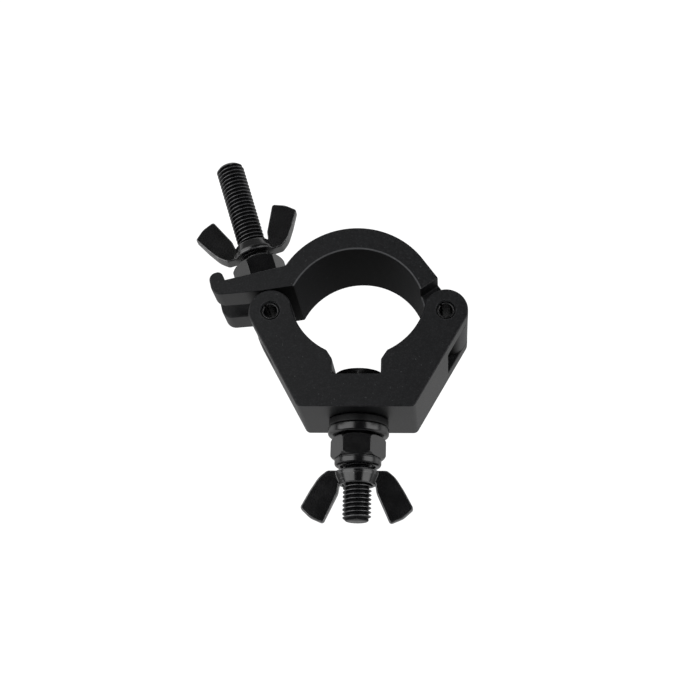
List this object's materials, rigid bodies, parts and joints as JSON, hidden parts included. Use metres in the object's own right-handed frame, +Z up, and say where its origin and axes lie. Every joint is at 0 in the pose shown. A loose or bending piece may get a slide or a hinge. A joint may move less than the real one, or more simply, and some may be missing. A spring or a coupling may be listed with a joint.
{
  "type": "pipe clamp",
  "caption": "Hinged pipe clamp for stage tube: a jaw closes over the tube, held by a swinging eye bolt with a wing nut, and a stud hangs below for a yoke.",
  "frame": {"origin": "centre of the gripped tube, midway along the clamp's width", "axes": "+Y along the tube, +Z up from the hanging stud through the tube, +X towards the jaw's hinge pin"},
  "size_m": [0.1004, 0.035, 0.1374],
  "materials": {
    "coat": "black powder coat with a fine satin grain",
    "steel": "black oxide, oiled and glossy",
    "matte_steel": "black oxide, dull",
    "nylon": "black nylon"
  },
  "bodies": {
    "base": {"clamp_body": "coat", "jaw_hinge_pin": "steel", "swing_bolt_pin": "steel", "main_bolt": "steel", "upper_washer": "matte_steel", "lower_washer": "steel"},
    "jaw": {"upper_jaw": "coat"},
    "swing_bolt": {"swing_bolt": "steel"},
    "swing_nut": {"swing_hex_nut": "steel"},
    "swing_wing_nut": {"swing_wing_nut": "steel"},
    "main_nut_carrier": {"main_nut_insert": "nylon"},
    "main_lock_nut": {"main_lock_nut": "steel"},
    "main_wing_nut": {"main_wing_nut": "steel"}
  },
  "joints": [
    {"name": "swing_bolt_hinge", "type": "hinge", "parent": "base", "child": "swing_bolt", "pos_m": [-0.0307, 0, -0.007], "axis": [0, -1, 0], "range_deg": [0, 45]},
    {"name": "swing_nut_travel", "type": "slide", "parent": "swing_bolt", "child": "swing_nut", "axis": [-0.3074, 0, 0.9516], "range_m": [0, 0.0335]},
    {"name": "swing_wing_spin", "type": "hinge", "parent": "swing_nut", "child": "swing_wing_nut", "pos_m": [-0.0307, 0, -0.007], "axis": [-0.3074, 0, 0.9516], "continuous": true},
    {"name": "jaw_hinge", "type": "hinge", "parent": "base", "child": "jaw", "pos_m": [0.0307, 0, -0.007], "axis": [0, 1, 0], "range_deg": [0, 14.76]},
    {"name": "main_nut_travel", "type": "slide", "parent": "base", "child": "main_nut_carrier", "axis": [0, 0, -1], "range_m": [0, 0.009]},
    {"name": "main_lock_nut_spin", "type": "hinge", "parent": "main_nut_carrier", "child": "main_lock_nut", "pos_m": [0, 0, -0.055], "axis": [0, 0, -1], "range_deg": [0, 2160]},
    {"name": "main_wing_nut_spin", "type": "hinge", "parent": "main_nut_carrier", "child": "main_wing_nut", "pos_m": [0, 0, -0.055], "axis": [0, 0, -1], "range_deg": [0, 2160]}
  ],
  "couplings": [
    {"joint": "jaw_hinge", "follows": "swing_bolt_hinge", "ratio": 0.328},
    {"joint": "swing_nut_travel", "follows": "swing_bolt_hinge", "m_per_rad": 0.042654},
    {"joint": "main_nut_travel", "follows": "main_wing_nut_spin", "m_per_rad": 0.00023873},
    {"joint": "main_lock_nut_spin", "follows": "main_wing_nut_spin", "ratio": 1}
  ]
}
